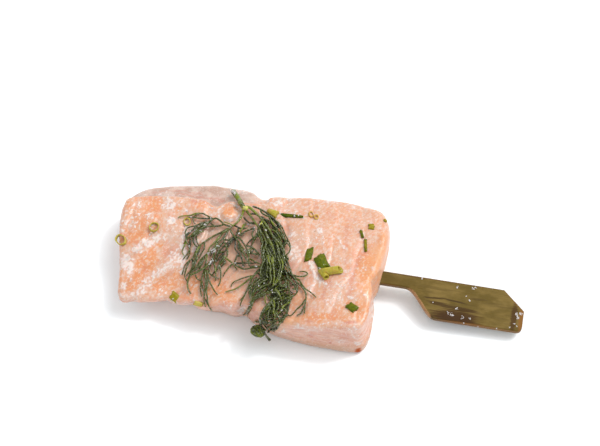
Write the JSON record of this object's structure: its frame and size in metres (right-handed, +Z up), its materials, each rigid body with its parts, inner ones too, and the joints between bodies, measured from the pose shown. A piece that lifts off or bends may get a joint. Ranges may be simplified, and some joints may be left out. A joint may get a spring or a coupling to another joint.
{
  "type": "salmon skewer",
  "caption": "Cooked salmon slab on a flat bamboo paddle skewer, lying flat with chive pieces and a dill sprig on top.",
  "frame": {"origin": "middle of the fish's flat underside, on the surface it lies on", "axes": "+X along the skewer towards its handle, +Y towards the fish's back edge, +Z up"},
  "size_m": [0.118, 0.0462, 0.0188],
  "materials": {
    "salmon": "moist cooked fish",
    "bamboo": "dull bamboo",
    "dill": "moist leaf"
  },
  "bodies": {
    "root": {"salmon": "salmon", "skewer": "bamboo", "dill": "dill"}
  },
  "joints": []
}
